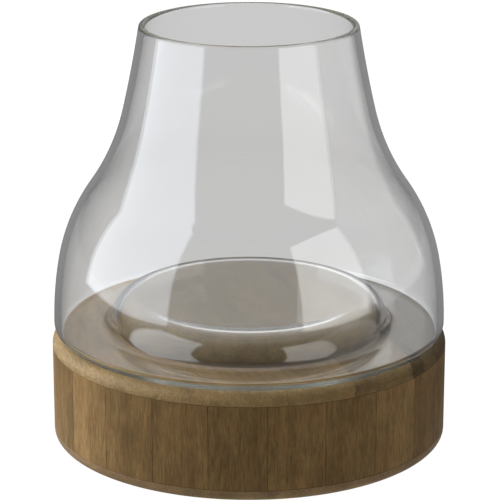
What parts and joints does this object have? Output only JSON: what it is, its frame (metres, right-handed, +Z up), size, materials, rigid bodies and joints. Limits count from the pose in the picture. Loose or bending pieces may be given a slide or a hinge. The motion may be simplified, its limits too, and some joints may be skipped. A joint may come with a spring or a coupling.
{
  "type": "hurricane candle holder",
  "caption": "Free-standing hurricane candle holder: a bell-shaped clear glass shade that lifts off a round, staved wooden base.",
  "frame": {"origin": "centre of the base's underside, on the surface it stands on", "axes": "+Z up along the turned axis, -Y towards the front, +X to the right as seen from the front"},
  "size_m": [0.2, 0.2, 0.2118],
  "materials": {
    "board_wood": "satin, light brown oiled hardwood, long grain along the strips",
    "stave_wood": "satin, mid brown oiled hardwood, upright grain",
    "disc_wood": "satin, light brown oiled hardwood",
    "clear_glass": "polished clear glass with a faint grey tint"
  },
  "bodies": {
    "base": {"bottom_board": "board_wood", "stave_01": "stave_wood", "stave_02": "stave_wood", "stave_03": "stave_wood", "stave_04": "stave_wood", "stave_05": "stave_wood", "stave_06": "stave_wood", "stave_07": "stave_wood", "stave_08": "stave_wood", "stave_09": "stave_wood", "stave_10": "stave_wood", "stave_11": "stave_wood", "stave_12": "stave_wood", "stave_13": "stave_wood", "stave_14": "stave_wood", "stave_15": "stave_wood", "stave_16": "stave_wood", "stave_17": "stave_wood", "stave_18": "stave_wood", "stave_19": "stave_wood", "stave_20": "stave_wood", "stave_21": "stave_wood", "stave_22": "stave_wood", "top_strip_1": "board_wood", "top_strip_2": "board_wood", "top_strip_3": "board_wood", "top_strip_4": "board_wood", "top_strip_5": "board_wood", "top_strip_6": "board_wood", "top_strip_7": "board_wood", "locating_disc": "disc_wood"},
    "glass": {"glass_shade": "clear_glass"}
  },
  "joints": [
    {"name": "glass_lift", "type": "slide", "parent": "base", "child": "glass", "axis": [0, 0, 1], "range_m": [0, 0.04]}
  ]
}
